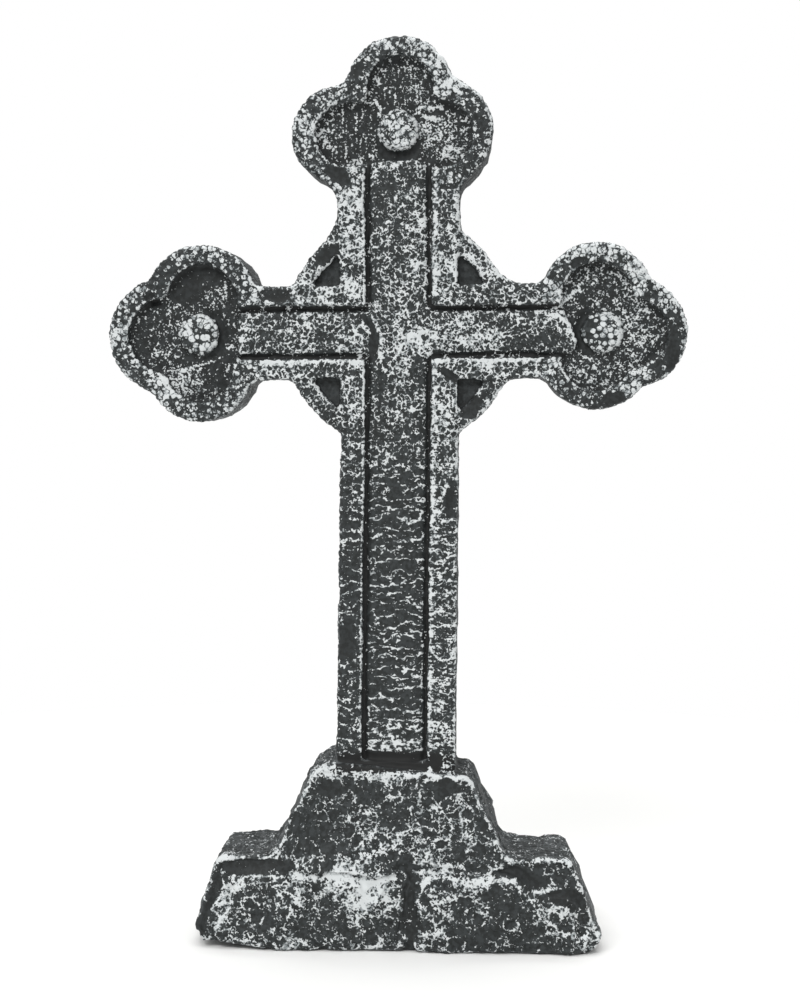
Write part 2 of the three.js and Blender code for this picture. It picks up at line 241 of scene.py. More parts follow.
# The lamps' places and sizes in metres, the point that they face, and the floor's radius
KEY_PLACE = (-0.9, -2.7, 2.8)
KEY_SIZE = (2.2, 1.6)
TOP_PLACE = (0.0, 0.3, 3.4)
TOP_SIZE = (2.4, 2.0)
TOP_SHARE = 0.75
LIGHT_AIM = (0.0, 0.0, 0.32)
FLOOR_RADIUS = 0.95

# A Mix node's sockets for colours
MIX_FROM, MIX_TO, MIXED = 6, 7, 2


def linear(hex_colour):
    """A colour given as an sRGB hex value, in linear light."""
    channels = [int(hex_colour[i : i + 2], 16) / 255 for i in (1, 3, 5)]
    return [c / 12.92 if c <= 0.04045 else ((c + 0.055) / 1.055) ** 2.4 for c in channels]


class HeadstoneRelief(bpy.types.PropertyGroup):
    """Sizes of the relief in the foam's skin."""

    mesh_step: bpy.props.FloatProperty(
        name="Mesh step",
        description="Spacing of the front's mesh",
        default=1.3 * MM,
        unit="LENGTH",
        precision=5,
    )
    bead_size: bpy.props.FloatProperty(
        name="Bead size",
        description="Width of a foam bead",
        default=3.9 * MM,
        unit="LENGTH",
        precision=5,
    )
    bead_height: bpy.props.FloatProperty(
        name="Bead height",
        description="How far a bead stands out",
        default=0.7 * MM,
        unit="LENGTH",
        precision=5,
    )
    dimple_size: bpy.props.FloatProperty(
        name="Dimple size",
        description="Width of a dimple in the rock face",
        default=8.5 * MM,
        unit="LENGTH",
        precision=5,
    )
    dimple_depth: bpy.props.FloatProperty(
        name="Dimple depth",
        description="Depth of a dimple in the rock face",
        default=0.8 * MM,
        unit="LENGTH",
        precision=5,
    )
    chisel_pitch: bpy.props.FloatProperty(
        name="Chisel pitch",
        description="Height between the shaft's chisel lines",
        default=7.0 * MM,
        unit="LENGTH",
        precision=5,
    )
    chisel_depth: bpy.props.FloatProperty(
        name="Chisel depth",
        description="Depth of the shaft's chisel lines",
        default=0.5 * MM,
        unit="LENGTH",
        precision=5,
    )
    rock_swell: bpy.props.FloatProperty(
        name="Rock swell",
        description="Swell of the base's rock face",
        default=0.9 * MM,
        unit="LENGTH",
        precision=5,
    )


class HeadstonePaint(bpy.types.PropertyGroup):
    """Colours of the paint."""

    coat: bpy.props.FloatVectorProperty(
        name="Coat",
        description="Dark grey coat over the whole block",
        default=linear("#262929"),
        subtype="COLOR",
    )
    coat_worn: bpy.props.FloatVectorProperty(
        name="Worn coat",
        description="The coat where it is thin",
        default=linear("#363a3b"),
        subtype="COLOR",
    )
    # Painted shade: a darker coat colour laid in the deep carving, where shade falls
    hollow: bpy.props.FloatVectorProperty(
        name="Hollows",
        description="The coat in the deepest carving",
        default=linear("#1b1c1c"),
        subtype="COLOR",
    )
    side: bpy.props.FloatVectorProperty(
        name="Sides",
        description="Thin wash on the sides",
        default=linear("#6b6f71"),
        subtype="COLOR",
    )
    brush_thin: bpy.props.FloatVectorProperty(
        name="Thin brushing",
        description="Off-white where it is thin",
        default=linear("#8d9395"),
        subtype="COLOR",
    )
    brush_thick: bpy.props.FloatVectorProperty(
        name="Thick brushing",
        description="Off-white where it is thick",
        default=linear("#d7dbdc"),
        subtype="COLOR",
    )


class HeadstoneStage(bpy.types.PropertyGroup):
    """The studio round the headstone."""

    eye: bpy.props.FloatVectorProperty(
        name="Camera",
        description="Place of the camera",
        default=(0.04845, -1.330, 0.3825),
        subtype="TRANSLATION",
    )
    aim: bpy.props.FloatVectorProperty(
        name="Aim",
        description="Point in the middle of the picture",
        default=(0.0031, -0.030, 0.2999),
        subtype="TRANSLATION",
    )
    roll: bpy.props.FloatProperty(
        name="Roll",
        description="Turn of the camera about its axis",
        default=math.radians(0.6),
        subtype="ANGLE",
    )
    lens: bpy.props.FloatProperty(
        name="Lens",
        description="Focal length",
        default=71.88,
        subtype="DISTANCE_CAMERA",
        unit="CAMERA",
    )
    backdrop: bpy.props.FloatVectorProperty(
        name="Backdrop",
        description="Colour of the floor and the surroundings",
        default=linear("#fbfbfa"),
        subtype="COLOR",
    )
    key_power: bpy.props.FloatProperty(
        name="Key light",
        description="Power of the soft light in front",
        default=75.0,
        unit="POWER",
    )
    sky_strength: bpy.props.FloatProperty(
        name="Surround",
        description="Strength of the light from all round",
        default=0.55,
    )


def ramp(value, low, high):
    """0 at low, 1 at high and smooth between, rising or falling."""
    t = np.clip((value - low) / (high - low), 0, 1)
    return t * t * (3 - 2 * t)


def smooth_noise(points, cell, seed):
    """A smooth random field of unit spread, with one random number at each corner of a lattice of cells."""
    grid = points / np.asarray(cell, float)
    corner = np.floor(grid).astype(int)
    part = grid - corner
    part = part * part * (3 - 2 * part)
    corner -= corner.min(axis=0)
    values = np.random.default_rng(seed).standard_normal(corner.max(axis=0) + 2)
    total = np.zeros(len(points))
    for step in np.ndindex(2, 2, 2):
        weight = np.prod(np.where(step, part, 1 - part), axis=1)
        total += weight * values[tuple((corner + step).T)]
    return total / total.std()


def ellipse_reach(x, z, centre, half_width, half_height, turn):
    """Distance from an ellipse's centre in the front view, 1 on its edge."""
    angle = math.radians(turn)
    dx, dz = x - centre[0], z - centre[1]
    along = dx * math.cos(angle) + dz * math.sin(angle)
    up = dz * math.cos(angle) - dx * math.sin(angle)
    return np.hypot(along / half_width, up / half_height)


def distance_to_line(x, z, line):
    """Distance in the front view from a line through points."""
    best = np.full(len(x), np.inf)
    for (x0, z0), (x1, z1) in zip(line, line[1:]):
        run = np.array((x1 - x0, z1 - z0), float)
        t = np.clip(((x - x0) * run[0] + (z - z0) * run[1]) / (run @ run), 0, 1)
        best = np.minimum(best, np.hypot(x - x0 - t * run[0], z - z0 - t * run[1]))
    return best


def along_height(z, table):
    """A share read off a table of heights and shares."""
    heights, shares = zip(*table)
    return np.interp(z, heights, shares)


def lift_for(cover):
    """How far a field of unit spread has to be raised for this share of it to be above zero."""
    shares = np.concatenate(([0.0003], np.linspace(0.002, 0.998, 499)))
    lifts = [NormalDist().inv_cdf(s) for s in shares]
    return np.interp(cover, shares, lifts)


def add_node(tree, kind, settings, inputs):
    """Adds a node with its settings, and gives its sockets a value or another node's output."""
    node = tree.nodes.new(kind)
    for key, value in settings.items():
        setattr(node, key, value)
    for key, value in inputs.items():
        if isinstance(value, bpy.types.NodeSocket):
            tree.links.new(value, node.inputs[key])
        else:
            node.inputs[key].default_value = value
    return node


def add_patterns(tree, place, relief):
    """Adds the textures that the relief and the brush share, at a place in metres, and returns their outputs.

    Curls and rivers are the bent lines between the cells of a packing, small on the carving and large on the
    rock face. Beads are the cells of a packing, each with a number of its own and 0 along the joints between
    them. Waves are the crests of the chisel's wavering steps across the shaft.
    """
    smooth = {"interpolation_type": "SMOOTHSTEP"}
    edges = {"feature": "DISTANCE_TO_EDGE"}
    lines = []
    for size, squeeze in ((CURL_SIZE * MM, (1.0, 1.0, 1.0)), (relief.dimple_size, (0.95, 1.0, 1.05))):
        bend = add_node(
            tree, "ShaderNodeTexNoise", {}, {"Vector": place, "Scale": 1 / (0.7 * size), "Detail": 2.0}
        )
        flat = add_node(tree, "ShaderNodeVectorMath", {"operation": "MULTIPLY"}, {0: place, 1: squeeze})
        bent = add_node(
            tree,
            "ShaderNodeVectorMath",
            {"operation": "MULTIPLY_ADD"},
            {0: bend.outputs["Color"], 1: (1.1 * size,) * 3, 2: flat.outputs[0]},
        )
        cells = add_node(
            tree,
            "ShaderNodeTexVoronoi",
            edges,
            {"Vector": bent.outputs[0], "Scale": 1 / size, "Randomness": 1.0},
        )
        line = add_node(
            tree,
            "ShaderNodeMapRange",
            {},
            {"Value": cells.outputs["Distance"], "From Min": 0.22, "From Max": 0.0},
        )
        lines.append(line.outputs["Result"])
    flakes = add_node(
        tree,
        "ShaderNodeTexNoise",
        {},
        {"Vector": place, "Scale": 1 / (FLAKE_SIZE * MM), "Detail": 3.0, "Distortion": 0.8},
    )
    specks = add_node(
        tree, "ShaderNodeTexNoise", {}, {"Vector": place, "Scale": 1 / (SPECK_SIZE * MM), "Detail": 2.0}
    )
    wide = add_node(
        tree, "ShaderNodeVectorMath", {"operation": "MULTIPLY"}, {0: place, 1: (DASH_STRETCH, 1.0, 1.0)}
    )
    dashes = add_node(
        tree,
        "ShaderNodeTexNoise",
        {},
        {"Vector": wide.outputs[0], "Scale": 1 / (DASH_SIZE * MM), "Detail": 3.0, "Distortion": 0.5},
    )
    packing = {"Vector": place, "Scale": 1 / relief.bead_size, "Randomness": 0.8}
    nearest = add_node(tree, "ShaderNodeTexVoronoi", {"feature": "F1"}, packing)
    joint = add_node(tree, "ShaderNodeTexVoronoi", edges, packing)
    disc = add_node(
        tree,
        "ShaderNodeMapRange",
        smooth,
        {"Value": nearest.outputs["Distance"], "From Min": 0.60, "From Max": 0.38},
    )
    apart = add_node(
        tree,
        "ShaderNodeMapRange",
        smooth,
        {"Value": joint.outputs["Distance"], "From Min": 0.0, "From Max": 0.10},
    )
    inside = add_node(
        tree, "ShaderNodeMath", {"operation": "MULTIPLY"}, {0: disc.outputs[0], 1: apart.outputs[0]}
    )
    beads = add_node(
        tree,
        "ShaderNodeMath",
        {"operation": "MULTIPLY_ADD"},
        {0: nearest.outputs["Color"], 1: 1.1, 2: inside.outputs[0]},
    )
    chisel = add_node(
        tree,
        "ShaderNodeTexWave",
        {"bands_direction": "Z", "wave_profile": "SAW"},
        {
            "Vector": place,
            "Scale": math.tau / (20 * relief.chisel_pitch),
            "Distortion": 9.0,
            "Detail": 2.0,
            "Detail Scale": 1.6,
            "Detail Roughness": 0.6,
        },
    )
    waves = add_node(
        tree, "ShaderNodeMapRange", {}, {"Value": chisel.outputs["Fac"], "From Min": 0.72, "From Max": 0.96}
    )
    return {
        "curls": lines[0],
        "rivers": lines[1],
        "beads": beads.outputs[0],
        "flakes": flakes.outputs[0],
        "specks": specks.outputs[0],
        "dashes": dashes.outputs[0],
        "waves": waves.outputs[0],
        "chisel": chisel.outputs["Fac"],
        "bead_reach": nearest.outputs["Distance"],
        "bead_joint": joint.outputs["Distance"],
    }


def pattern_modifier(obj, relief):
    """Adds a modifier that stores each pattern on the mesh's points."""
    tree = bpy.data.node_groups.new("skin patterns", "GeometryNodeTree")
    tree.interface.new_socket("Geometry", in_out="INPUT", socket_type="NodeSocketGeometry")
    tree.interface.new_socket("Geometry", in_out="OUTPUT", socket_type="NodeSocketGeometry")
    place = add_node(tree, "GeometryNodeInputPosition", {}, {}).outputs[0]
    skin = add_node(tree, "NodeGroupInput", {}, {}).outputs[0]
    for name, pattern in add_patterns(tree, place, relief).items():
        stored = add_node(
            tree, "GeometryNodeStoreNamedAttribute", {}, {"Geometry": skin, "Name": name, "Value": pattern}
        )
        skin = stored.outputs[0]
    add_node(tree, "NodeGroupOutput", {}, {0: skin})
    obj.modifiers.new("Patterns", "NODES").node_group = tree


class Skin:
    """The block's dense mesh as arrays in millimetres, with the place of each point in the carving."""

    def __init__(self, mesh):
        count = len(mesh.vertices)
        flat = np.empty(count * 3, np.float32)
        mesh.vertices.foreach_get("co", flat)
        self.points = flat.reshape(-1, 3).astype(float) / MM
        mesh.vertices.foreach_get("normal", flat)
        self.normals = flat.reshape(-1, 3).astype(float)
        ends = np.empty(len(mesh.edges) * 2, np.int32)
        mesh.edges.foreach_get("vertices", ends)
        self.ends = ends.reshape(-1, 2).T
        self.valence = np.bincount(ends, minlength=count)
        self.x, self.y, self.z = self.points.T
        self.front = ramp(-self.normals[:, 1], 0.25, 0.6)
        self.depth = self.y - CROSS_FRONT
        self.patterns = {}
        for name in (*PATTERNS, *FORMS):
            values = np.empty(count, np.float32)
            mesh.attributes[name].data.foreach_get("value", values)
            self.patterns[name] = values.astype(float)
            mesh.attributes.remove(mesh.attributes[name])
        self.find_parts()
        self.find_arrises()

    def neighbour_mean(self, values, rounds=1):
        """The values blurred over each point's neighbours."""
        first, second = self.ends
        count = len(self.points)
        values = np.asarray(values, float)
        for _ in range(rounds):
            total = np.bincount(first, values[second], count) + np.bincount(second, values[first], count)
            values = (values + total) / (self.valence + 1)
        return values

    def find_parts(self):
        """Sorts the points into limbs of the cross and parts of the carving."""
        dx, dz = self.x - CROSSING_X, self.z - CROSSING_HEIGHT
        outs = [dx * math.cos(a) + dz * math.sin(a) for a in HEADINGS]
        lefts = [dz * math.cos(a) - dx * math.sin(a) for a in HEADINGS]
        self.limb = np.argmax(outs, axis=0)
        self.out = np.choose(self.limb, outs)
        self.left = np.choose(self.limb, lefts)
        self.upright = (self.limb == SHAFT) | (self.limb == TOP)
        beside_shaft = abs(self.x - SHAFT_X) > SHAFT_HALF
        self.base = (self.z < BASE_TOP) | ((self.z < BASE_SHOULDER) & beside_shaft)
        cross = ~self.base & (self.front > 0.02)
        head = cross & (self.limb != SHAFT)
        boss_gap = np.full(len(self.x), 99.0)
        for limb, (out, left) in enumerate(BOSSES):
            here = self.limb == limb
            boss_gap[here] = np.hypot(self.out - out, self.left - left)[here]
        self.boss_gap = boss_gap
        self.trefoil = head & (self.out > TREFOIL_START)
        self.boss = self.trefoil & (boss_gap < BOSS_RADIUS + BOSS_SKIRT)
        carved = cross & ~self.boss
        self.floor = self.trefoil & ~self.boss & (self.depth > FLOOR_DEPTH)
        self.pocket = cross & ~self.trefoil & (self.depth > POCKET_DEPTH)
        self.rim = carved & (self.depth < RIM_DEPTH)
        self.panel = carved & (self.depth >= RIM_DEPTH) & (self.depth < PANEL_DEPTH)
        self.groove = carved & ~(self.floor | self.pocket | self.rim | self.panel)
        self.trefoil_rim = self.rim & self.trefoil
        in_ring = np.hypot(dx, dz) < RING_REACH
        self.ring = self.rim & in_ring & (abs(dx) > SHAFT_HALF) & (abs(dz) > ARM_HALF)
        self.low_shaft = ramp(self.z, *CHISEL_START) * (self.limb == SHAFT) * ~self.base

    def find_arrises(self):
        """How sharply the block turns outwards: 1 on an arris, 0 on the flat and -1 in a corner."""
        first, second = self.ends
        run = self.points[second] - self.points[first]
        count = len(self.points)
        bend = np.zeros(count)
        for axis in range(3):
            along = run[:, axis]
            pull = np.bincount(first, along, count) - np.bincount(second, along, count)
            bend -= pull / self.valence * self.normals[:, axis]
        self.arris = np.clip(self.neighbour_mean(bend, 1) / 0.14, -1, 1)


def hand_wander(skin, inner_base):
    """How far each point strays from the mould's straight lines, in millimetres.

    Edges waver, grooves are softened, and the base's corners are worn round.
    """
    wide = [smooth_noise(skin.points, (12, 70, 12), seed) for seed in (51, 52)]
    close = [smooth_noise(skin.points, (5, 70, 5), seed) for seed in (53, 54)]
    far = 0.12 + 1.1 * inner_base
    near = 0.10 + 0.55 * inner_base
    shift_x, shift_z = (far * w + near * c for w, c in zip(wide, close))
    shift_z = shift_z * ramp(skin.z, 0, 6)
    foot_end = ramp(skin.x, -70, -132) * ramp(skin.z, 24, 2) * ramp(skin.y, 10, -25)
    shift_z += FOOT_END_RISE * foot_end
    shift_x += FOOT_END_SHIFT * ramp(skin.x, -118, -132) * ramp(skin.z, 14, 0)
    soft_x, soft_z = (skin.neighbour_mean(axis, 45) - axis for axis in (skin.x, skin.z))
    for corner_x, corner_z in SOFT_CORNERS:
        near_corner = ramp(np.hypot(skin.x - corner_x, skin.z - corner_z), 20, 9)
        shift_x += near_corner * soft_x
        shift_z += near_corner * soft_z
    carved = np.clip(2.5 * skin.neighbour_mean(skin.groove, 3), 0, 1)
    shift_y = carved * (skin.neighbour_mean(skin.y, 3) - skin.y)
    return np.stack((shift_x, shift_y, shift_z), axis=1)


def vent_marks(skin):
    """Vent marks of the mould: a recess from 0 to 1, its ring and the grid of slots inside."""
    recess, ring, slots = (np.zeros(len(skin.x)) for _ in range(3))
    for x, z in VENTS:
        gap = np.hypot(skin.x - x, skin.z - z)
        inside = ramp(gap, VENT_RADIUS, VENT_RADIUS - 0.8)
        recess = np.maximum(recess, inside)
        ring = np.maximum(ring, np.exp(-(((gap - VENT_RADIUS - 0.4) / 0.7) ** 2)))
        grid = np.cos(math.tau * (skin.x - x) / VENT_PITCH) * np.cos(math.tau * (skin.z - z) / VENT_PITCH)
        slots += inside * np.clip(grid, 0, 1)
    return recess, ring, slots


def carve_and_mask(skin, relief):
    """Each point's relief outwards, its stray from the mould's lines, and the fields for the paint."""
    points, x, z, front = skin.points, skin.x, skin.z, skin.front
    count = len(x)
    cross_front = front * ~skin.base
    base_front = front * skin.base
    side = 1 - front

    reach, joint = skin.patterns["bead_reach"], skin.patterns["bead_joint"]
    dome = np.sqrt(np.clip(1 - (reach / 0.75) ** 2, 0, 1)) * ramp(joint, 0.0, 0.16)
    recess, ring, slots = vent_marks(skin)
    rough = smooth_noise(points, 3.0, 41)
    fine = smooth_noise(points, 1.7, 42)
    swell = smooth_noise(points, 24.0, 43)
    lumps = smooth_noise(points, 9.0, 44)
    curls = unit_spread(skin.patterns["curls"])
    rivers = unit_spread(skin.patterns["rivers"])

    beaded = np.select(
        [skin.boss, skin.trefoil_rim, skin.rim, skin.panel, skin.floor, skin.pocket, skin.groove],
        [1.0, 1.0, 0.6, 0.3, 0.25, 0.1, 0.15],
        0.0,
    )
    beaded = skin.neighbour_mean(beaded * (1 - 0.6 * skin.low_shaft), 2)
    beaded += (1.1 * side + 0.5 * np.clip(skin.arris, 0, 1)) * ~skin.base
    bare = np.zeros(count)
    height = np.zeros(count)
    for centre, half_width, half_height, turn, depth in BARE_HOLLOWS:
        span = ellipse_reach(x, z, centre, half_width, half_height, turn) + 0.10 * lumps + 0.05 * rough
        bare = np.maximum(bare, ramp(span, 1.15, 0.8) * front)
        height -= depth * ramp(span, 1.2, 0.3) * front
    calm = 1 - 0.9 * bare

    inner = ramp(skin.neighbour_mean(base_front, 20), 0.80, 0.98)
    height += inner * (skin.y - skin.neighbour_mean(skin.y, 60))
    across = ramp(abs(x - BUTTRESS_X), BUTTRESS_HALF + 9, BUTTRESS_HALF - 9)
    height += 3.4 * inner * across * ramp(z, 49, 54) * ramp(z, 84, 54)
    height += (0.16 + 0.14 * skin.base) * swell + 0.14 * lumps
    height += relief.bead_height / MM * beaded * dome * calm
    height += cross_front * calm * (0.12 * rough + 0.08 * fine + 0.14 * curls)
    height += relief.chisel_depth / MM * skin.low_shaft * front * skin.patterns["chisel"] * calm
    height += base_front * calm * (relief.rock_swell / MM * swell + 0.4 * lumps + 0.2 * rough)
    height += relief.dimple_depth / MM * base_front * calm * 0.5 * np.clip(rivers, -1.5, 1.5)
    streak_along = smooth_noise(points, (14, 1.6, 14), 45)
    streak_deep = smooth_noise(points, (2.2, 20, 2.2), 46)
    height += side * skin.base * (0.36 * streak_along + 0.26 * streak_deep + 0.4 * lumps)
    vented = front * (0.15 + 0.85 * (skin.base | skin.panel | skin.rim))
    height += vented * (-0.7 * recess + 0.35 * ring + 0.5 * slots)

    cracked = np.zeros(count)
    for line, half_width, depth in CRACKS:
        gap = distance_to_line(x, z, line) + 0.35 * rough
        crack = ramp(gap, half_width * 1.5, half_width * 0.3) * front
        cracked = np.maximum(cracked, crack)
        height -= depth * crack
    ridged = np.zeros(count)
    for line, half_width, rise in RIDGES:
        gap = distance_to_line(x, z, line) + 0.25 * rough
        ridge = ramp(gap, half_width * 1.8, half_width * 0.2) * front
        ridged = np.maximum(ridged, ridge)
        height += rise * ridge
    gap = np.hypot(x - CRATER[0], z - CRATER[1])
    height -= 2.4 * ramp(gap, CRATER_RADIUS, CRATER_RADIUS * 0.45) * base_front
    height += 0.8 * np.exp(-(((gap - CRATER_RADIUS * 1.15) / 1.3) ** 2)) * base_front
    for px, py in LEDGE_PITS:
        gap = np.hypot(x - px, skin.y - py)
        height -= 2.0 * ramp(gap, 3.0, 1.4) * (abs(z - LEDGE_HEIGHT) < 12)
    crescents = boss_crescents(skin)
    height -= 1.6 * crescents
    height *= ramp(z, 0.2, 2.5)

    fields = brush_fields(skin)
    cover = paint_cover(skin, 0.8 * rough + 0.6 * lumps)
    lift = skin.neighbour_mean(lift_for(cover), 1) + fields.pop("level")
    mottle = 0.28 * smooth_noise(points, 15.0, 47) + 0.22 * smooth_noise(points, 6.5, 48)
    lift += mottle * (0.3 + 0.7 * front) * (1 - 0.5 * skin.low_shaft + 0.5 * skin.base)
    lift += arris_lift(skin)
    for centre, half_width, half_height, turn, extra in THICK_STROKES:
        span = ellipse_reach(x, z, centre, half_width, half_height, turn) + 0.15 * lumps
        lift += extra * ramp(span, 1.2, 0.5) * front
    lift += front * (1.9 * ring + 3.0 * slots - 2.6 * recess)
    lift += 2.6 * ridged
    for line, half_width, extra in PAINT_LINES:
        gap = distance_to_line(x, z, line) + 0.5 * rough + 0.7 * lumps
        lift += extra * ramp(gap, half_width * 1.5, half_width * 0.4) * base_front
    for centre, half_width, half_height, pitch in COMB_MARKS:
        here = ramp(ellipse_reach(x, z, centre, half_width, half_height, 0) + 0.1 * lumps, 1.1, 0.7)
        lift += 0.8 * here * skin.floor * np.cos(math.tau * (x + 0.3 * lumps) / pitch)
    lift -= 1.5 * skin.panel * ramp(skin.neighbour_mean(skin.groove, 2), 0.05, 0.5)
    # Painted shade at the foot of the trefoils' walls: less off-white there, and the darker shade colour
    # below
    wall_shade = skin.floor * ramp(skin.neighbour_mean(skin.trefoil & (skin.rim | skin.panel), 5), 0.02, 0.25)
    lift -= 1.5 * wall_shade
    lift += 0.9 * skin.trefoil_rim * ramp(skin.neighbour_mean(skin.floor | skin.groove, 4), 0.02, 0.16)
    lift -= 2.6 * bare + 2.4 * cracked + 2.2 * crescents
    fields["lift"] = lift
    # Painted shade: the darker colour goes in the cove at the shaft's foot, the trefoils' floors, the foot of
    # their walls, the grooves and the bare hollows
    foot_shade = ramp(abs(z - SHAFT_FOOT), 9, 5) * ramp(abs(x - SHAFT_X), SHAFT_HALF + 6, SHAFT_HALF) * front
    painted_shade = foot_shade + 0.35 * skin.floor + 0.6 * wall_shade + 0.9 * skin.groove + 0.4 * bare
    fields["hollow"] = np.clip(skin.neighbour_mean(np.clip(painted_shade, 0, 1), 1), 0, 1)
    upper = skin.base * ramp(skin.normals[:, 2], 0.3, 0.8)
    # The pockets' floors get a little of the side wash as painted light, lifting them out of their shade
    fields["side"] = np.maximum(side * (1 - 0.55 * upper), 0.15 * skin.pocket)
    return height, hand_wander(skin, inner), fields


def boss_crescents(skin):
    """The unpainted hollow beside each boss, on the side of the crossing."""
    crescent = np.zeros(len(skin.x))
    for limb, (out, left) in enumerate(BOSSES):
        here = (skin.limb == limb) & skin.floor
        inward = (out - skin.out) / np.maximum(skin.boss_gap, 1)
        shape = ramp(skin.boss_gap, BOSS_RADIUS + 8, BOSS_RADIUS + 2) * ramp(inward, 0.1, 0.6)
        crescent = np.maximum(crescent, shape * here)
    return crescent


def arris_lift(skin):
    """The brush catches outer edges and skips inner corners."""
    out = np.clip(skin.arris, 0, 1)
    corner = np.clip(-skin.arris, 0, 1)
    right_hand = ramp(skin.normals[:, 0], 0.1, 0.6)
    upper = ramp(skin.normals[:, 2], 0.0, 0.6)
    beside = ramp(abs(skin.normals[:, 0]) + upper, 0.2, 0.7)
    catch = np.where(skin.base, 2.6 * beside, 0.1 + 1.9 * right_hand + 0.4 * upper)
    near_front = ramp(skin.y, CROSS_FRONT + 14, CROSS_FRONT + 5)
    lower_rim = np.select([skin.limb == RIGHT, skin.limb == LEFT], [-skin.left, skin.left], -99.0)
    inner = 2.2 * (skin.out < TREFOIL_START) * np.exp(-(((lower_rim - ARM_CHANNEL_HALF - 1) / 1.3) ** 2))
    across = skin.x - SHAFT_X - SHAFT_CHANNEL_SHIFT
    inner += 1.2 * skin.upright * np.exp(-(((across - SHAFT_CHANNEL_HALF - 1) / 1.3) ** 2))
    by_pocket = ramp(skin.neighbour_mean(skin.pocket, 4), 0.02, 0.14)
    outer = out * catch * (0.35 + 0.65 * near_front)
    return outer - 0.5 * corner * ~skin.panel + (inner + 1.2 * by_pocket) * skin.rim


def paint_cover(skin, stray):
    """The share of off-white wanted at each point. The brush strays over the edges of the carving."""
    in_groove = skin.groove & (skin.depth + stray > PANEL_DEPTH)
    cover = np.full(len(skin.x), SIDE_COVER)
    cover[skin.normals[:, 1] > 0.5] = BACK_COVER
    front = skin.front > 0.3
    cover[skin.base & (skin.normals[:, 2] > 0.6)] = LEDGE_COVER
    cover[skin.base & front] = BASE_COVER
    cover[skin.base & front & (skin.z > FOOT_STRIP)] = FOOT_STRIP_COVER
    panel = skin.panel | (skin.groove & ~in_groove & (skin.out < TREFOIL_START))
    cover[panel] = ARM_PANEL_COVER
    cover[skin.rim] = ARM_RIM_COVER
    part = panel & skin.upright
    cover[part] = along_height(skin.z, SHAFT_PANEL_COVER)[part]
    part = skin.rim & skin.upright & (skin.x < SHAFT_X)
    cover[part] = along_height(skin.z, LEFT_RIM_COVER)[part]
    part = skin.rim & skin.upright & (skin.x >= SHAFT_X)
    cover[part] = along_height(skin.z, RIGHT_RIM_COVER)[part]
    cover[panel & (skin.out < 25) & (skin.limb != SHAFT)] = CROSSING_COVER
    cover[skin.ring] = RING_COVER
    for limb in (RIGHT, TOP, LEFT):
        here = skin.limb == limb
        cover[skin.trefoil_rim & here] = TREFOIL_RIM_COVER[limb]
        cover[skin.floor & here] = TREFOIL_FLOOR_COVER[limb]
        cover[skin.boss & here] = BOSS_COVER[limb]
    cover[in_groove] = GROOVE_COVER
    cover[skin.pocket] = POCKET_COVER
    return cover


def unit_spread(field):
    """The field with mean 0 and spread 1."""
    return (field - field.mean()) / field.std()


def brush_fields(skin):
    """How much each pattern breaks up the brushing at each point, and the level that they all start from.

    The shares are for the base, a boss, a trefoil's rim and floor, the other rims and the panels, and last
    for the rest. The top trefoil is crumpled: its paint lies between the curls.
    """
    low = skin.low_shaft
    top = skin.limb == TOP
    kinds = [skin.base, skin.boss, skin.trefoil_rim, skin.floor, skin.rim, skin.panel]
    choices = {
        "curls": (0.55, 0.08 - 0.6 * top, 0.20 - 0.45 * top, 0.30, 0.75 - 0.3 * low, 0.75 - 0.5 * low, 0.5),
        "rivers": (0.65, 0.0, 0.0, 0.10, 0.20, 0.10, 0.0),
        "beads": (0.0, 0.90 - 0.45 * top, 0.75 - 0.2 * top, 0.15, 0.25 - 0.2 * low, 0.05, 0.2),
        "flakes": (0.15, 0.10, 0.15, 0.40, 0.40, 0.45, 0.6),
        "specks": (0.48, 0.30, 0.40, 0.80, 0.45, 0.55 - 0.2 * low, 0.5),
        "dashes": (0.15, 0.0, 0.0, 0.0, 0.40 * low, 0.10 + 0.40 * low, 0.0),
        "waves": (0.0, 0.0, 0.0, 0.0, 0.40 * low, 0.62 * low, 0.0),
    }
    shares = {name: np.select(kinds, choice[:-1], choice[-1]) for name, choice in choices.items()}
    whole = np.sqrt(sum(share**2 for share in shares.values()))
    fields = {"level": 0.0}
    for name, share in shares.items():
        pattern = skin.patterns[name]
        fields[name] = share / whole / pattern.std()
        fields["level"] = fields["level"] - fields[name] * pattern.mean()
    return fields


def merged_copy(name):
    """A new object with the CAD node's mesh, its loose triangles joined."""
    bm = bmesh.new()
    bm.from_mesh(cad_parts[NODE].data)
    bmesh.ops.remove_doubles(bm, verts=bm.verts, dist=0.001 * MM)
    mesh = bpy.data.meshes.new(name)
    bm.to_mesh(mesh)
    bm.free()
    obj = bpy.data.objects.new(name, mesh)
    bpy.context.scene.collection.objects.link(obj)
    return obj


def apply_modifiers(obj):
    """Makes the modified shape the object's own mesh."""
    plain = obj.data
    depsgraph = bpy.context.evaluated_depsgraph_get()
    obj.data = bpy.data.meshes.new_from_object(obj.evaluated_get(depsgraph))
    obj.modifiers.clear()
    bpy.data.meshes.remove(plain)


def triangles_in(mesh):
    """The number of triangles that the mesh's faces come to."""
    mesh.calc_loop_triangles()
    return len(mesh.loop_triangles)


def thin_hidden_sides(obj, skin):
    """Thins the mesh of the back and the sides and leaves the front as it is."""
    near = CROSS_FRONT + FULL_MESH_DEPTH
    ledge = skin.base & (skin.normals[:, 2] > 0.5)
    plain = (skin.y > near) & ((skin.front < 0.1) | (skin.y > 0)) & ~ledge
    group = obj.vertex_groups.new(name="plain")
    group.add(np.flatnonzero(plain).tolist(), 1.0, "REPLACE")
    thin = obj.modifiers.new("Thin", "DECIMATE")
    thin.ratio = MOST_TRIANGLES / triangles_in(obj.data)
    thin.vertex_group = group.name
    thin.vertex_group_factor = 1.0
    apply_modifiers(obj)
    obj.vertex_groups.clear()


